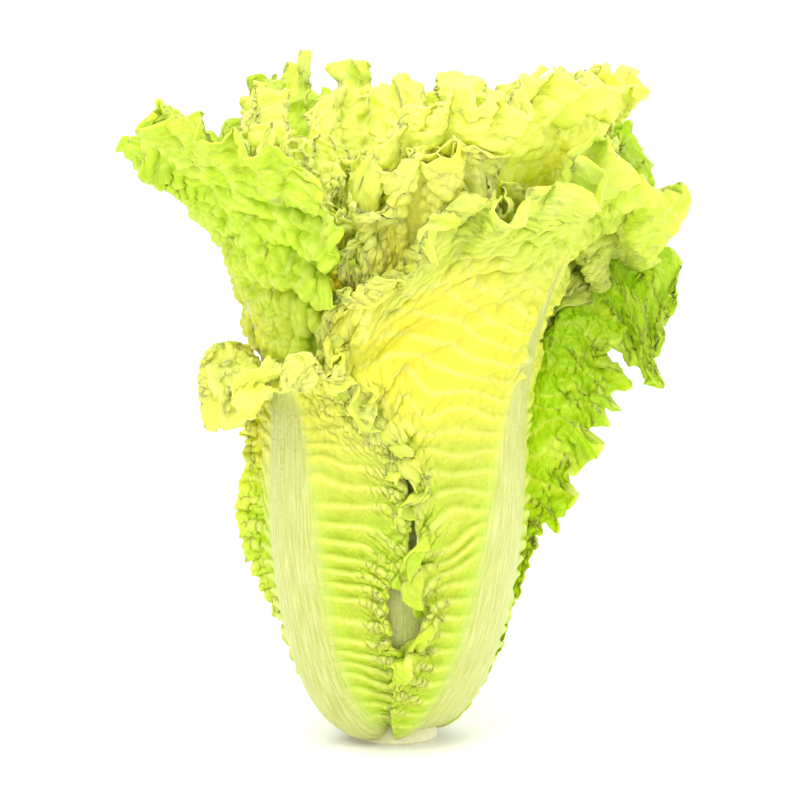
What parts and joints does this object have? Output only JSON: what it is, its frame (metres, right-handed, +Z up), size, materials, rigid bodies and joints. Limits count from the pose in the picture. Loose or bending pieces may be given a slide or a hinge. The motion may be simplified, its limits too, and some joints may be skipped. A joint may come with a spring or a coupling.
{
  "type": "napa cabbage",
  "caption": "Upright head of napa cabbage: nested leaves with broad pale midribs form a barrel and open into a frilled crown, on a trimmed stump.",
  "frame": {"origin": "the middle of the cut face that the head stands on", "axes": "+Z up the head from the cut stump to the leaf tips; -Y towards the front of the head; +X to the right as seen from the front"},
  "size_m": [0.257, 0.2339, 0.3295],
  "materials": {
    "stump": "cut cabbage stem, moist, pale cream",
    "heart_leaf": "tender heart leaf, thin waxy skin, yellow with a cream rib",
    "green_leaf": "crinkled leaf, thin waxy skin, yellow-green blade with a cream rib"
  },
  "bodies": {
    "root": {"core_stump": "stump", "heart_leaf_01": "heart_leaf", "heart_leaf_02": "heart_leaf", "heart_leaf_03": "heart_leaf", "heart_leaf_04": "heart_leaf", "heart_leaf_05": "heart_leaf", "heart_leaf_06": "heart_leaf", "heart_leaf_07": "heart_leaf", "heart_leaf_08": "heart_leaf", "middle_leaf_01": "green_leaf", "middle_leaf_02": "green_leaf", "middle_leaf_03": "green_leaf", "middle_leaf_04": "green_leaf", "middle_leaf_05": "green_leaf", "middle_leaf_06": "green_leaf", "middle_leaf_07": "green_leaf", "middle_leaf_08": "green_leaf", "outer_leaf_front": "green_leaf", "outer_leaf_back": "green_leaf", "outer_leaf_left_back": "green_leaf", "outer_leaf_left": "green_leaf", "outer_leaf_right": "green_leaf", "outer_leaf_right_back": "green_leaf"}
  },
  "joints": []
}
